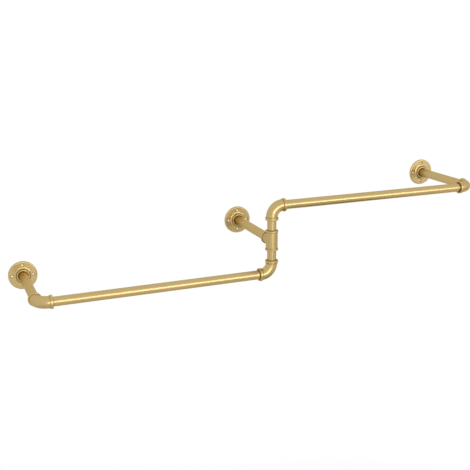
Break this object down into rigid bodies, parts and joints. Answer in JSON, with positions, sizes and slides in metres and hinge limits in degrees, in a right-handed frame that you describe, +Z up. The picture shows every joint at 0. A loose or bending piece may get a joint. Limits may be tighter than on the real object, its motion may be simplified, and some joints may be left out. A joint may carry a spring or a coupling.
{
  "type": "wall coat rack",
  "caption": "Wall-mounted pipe clothes rack: two horizontal rails at different heights joined by a riser, held off the wall by pipe standoffs with round screw-down flanges.",
  "frame": {"origin": "centre of the middle flange's back face, on the wall plane", "axes": "+X along the wall and the rails, towards the end of the upper rail; +Y into the wall; +Z up"},
  "size_m": [1.16, 0.2333, 0.23],
  "materials": {
    "pipes": "steel tube with a satin metallic gold coating",
    "fittings": "cast iron fitting with a satin metallic gold coating"
  },
  "bodies": {
    "root": {"left_flange": "fittings", "middle_flange": "fittings", "right_flange": "fittings", "left_standoff": "pipes", "middle_standoff": "pipes", "right_standoff": "pipes", "left_end_elbow": "fittings", "right_end_elbow": "fittings", "lower_rail": "pipes", "upper_rail": "pipes", "lower_riser_elbow": "fittings", "upper_riser_elbow": "fittings", "riser_tee": "fittings", "lower_riser_nipple": "pipes", "upper_riser_nipple": "pipes"}
  },
  "joints": []
}
